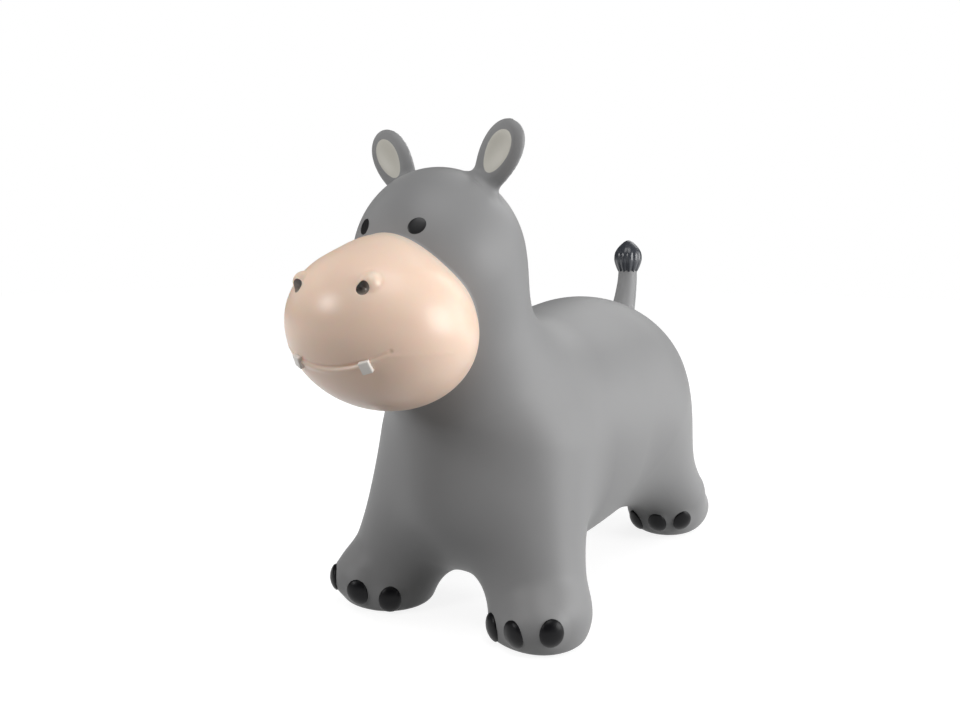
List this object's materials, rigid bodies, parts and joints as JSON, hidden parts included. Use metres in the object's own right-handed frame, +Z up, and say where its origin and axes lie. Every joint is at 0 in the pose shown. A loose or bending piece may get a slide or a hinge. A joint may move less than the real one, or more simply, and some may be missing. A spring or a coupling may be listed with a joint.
{
  "type": "inflatable ride-on animal hopper",
  "caption": "Inflatable bouncing ride-on hippo with four stub legs, raised head with big muzzle, upright ears, tail with tuft and an air valve in the belly.",
  "frame": {"origin": "on the floor, in the middle of the toy's length and width", "axes": "+Z up, -Y towards the nose, +X towards the animal's left"},
  "size_m": [0.2644, 0.5977, 0.4496],
  "materials": {
    "grey_skin": "matt soft-touch PVC",
    "peach_muzzle": "satin painted PVC",
    "cream_ear": "matt painted PVC",
    "black_gloss": "satin painted PVC",
    "charcoal_tuft": "satin painted PVC",
    "white_tusk": "satin painted PVC",
    "white_valve": "semi-soft moulded plastic"
  },
  "bodies": {
    "legs": {"front_left_leg": "grey_skin", "front_right_leg": "grey_skin", "rear_left_leg": "grey_skin", "rear_right_leg": "grey_skin", "front_left_inner_toenail": "black_gloss", "front_left_middle_toenail": "black_gloss", "front_left_outer_toenail": "black_gloss", "front_right_inner_toenail": "black_gloss", "front_right_middle_toenail": "black_gloss", "front_right_outer_toenail": "black_gloss", "rear_left_inner_toenail": "black_gloss", "rear_left_middle_toenail": "black_gloss", "rear_left_outer_toenail": "black_gloss", "rear_right_inner_toenail": "black_gloss", "rear_right_middle_toenail": "black_gloss", "rear_right_outer_toenail": "black_gloss"},
    "torso": {"torso_skin": "grey_skin", "head_skin": "grey_skin", "muzzle_skin": "peach_muzzle", "eye_left": "black_gloss", "eye_right": "black_gloss", "nostril_left": "black_gloss", "nostril_right": "black_gloss", "tusk_left": "white_tusk", "tusk_right": "white_tusk", "valve_body": "white_valve"},
    "left_ear": {"ear_left": "grey_skin", "ear_left_lining": "cream_ear"},
    "right_ear": {"ear_right": "grey_skin", "ear_right_lining": "cream_ear"},
    "tail": {"tail_stem": "grey_skin", "tail_tuft": "charcoal_tuft"},
    "plug": {"valve_plug": "white_valve"}
  },
  "joints": [
    {"name": "bounce", "type": "slide", "parent": "legs", "child": "torso", "axis": [0, 0, 1], "range_m": [-0.02, 0], "stiffness_N_per_m": 5500, "springref_m": 0.0024, "deforming": ["front_left_leg", "front_right_leg", "rear_left_leg", "rear_right_leg"]},
    {"name": "left_ear_flop", "type": "hinge", "parent": "torso", "child": "left_ear", "pos_m": [0.04207, -0.1349, 0.39975], "axis": [0.781, 0, -0.6245], "range_deg": [-30, 30], "stiffness_Nm_per_rad": 0.25},
    {"name": "right_ear_flop", "type": "hinge", "parent": "torso", "child": "right_ear", "pos_m": [-0.04207, -0.1349, 0.39975], "axis": [0.781, 0, 0.6245], "range_deg": [-30, 30], "stiffness_Nm_per_rad": 0.25},
    {"name": "tail_bend", "type": "hinge", "parent": "torso", "child": "tail", "pos_m": [0, 0.25845, 0.24439], "axis": [1, 0, 0], "range_deg": [-35, 12], "stiffness_Nm_per_rad": 0.6, "springref_deg": 0.88},
    {"name": "plug_pull", "type": "slide", "parent": "torso", "child": "plug", "axis": [0, 0, -1], "range_m": [0, 0.014]}
  ]
}
